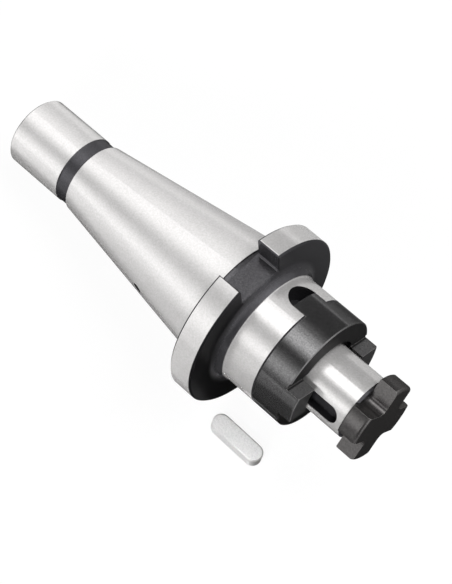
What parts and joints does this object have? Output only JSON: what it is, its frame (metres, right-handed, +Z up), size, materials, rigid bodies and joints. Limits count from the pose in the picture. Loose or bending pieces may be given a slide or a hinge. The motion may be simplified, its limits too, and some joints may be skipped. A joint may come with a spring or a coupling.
{
  "type": "combination shell mill arbor",
  "caption": "Steep-taper tool holder with a slotted flange, a cutter spigot, a loose driving ring with tenons, a four-armed clamping screw and a loose feather key.",
  "frame": {"origin": "centre of the bounding box's base, on the surface that the holder and the key lie on", "axes": "+X towards the nose, along the floor under the holder's axis, +Z up, out of the upper drive slot"},
  "size_m": [0.1554, 0.063, 0.061],
  "materials": {
    "ground_steel": "ground bright, with black oxide on the groove, neck, flange faces and slots",
    "black_oxide_ring": "black oxide, satin",
    "black_oxide_screw": "black oxide, satin",
    "key_steel": "ground bright"
  },
  "bodies": {
    "holder": {"holder": "ground_steel", "feather_key": "key_steel"},
    "driving_ring": {"driving_ring": "black_oxide_ring"},
    "clamping_screw": {"clamping_screw": "black_oxide_screw"}
  },
  "joints": [
    {"name": "ring_travel", "type": "slide", "parent": "holder", "child": "driving_ring", "axis": [0.9827, 0, 0.1851], "range_m": [0, 0.0125]},
    {"name": "screw_travel", "type": "slide", "parent": "holder", "child": "clamping_screw", "axis": [0.9827, 0, 0.1851], "range_m": [0, 0.024]}
  ]
}
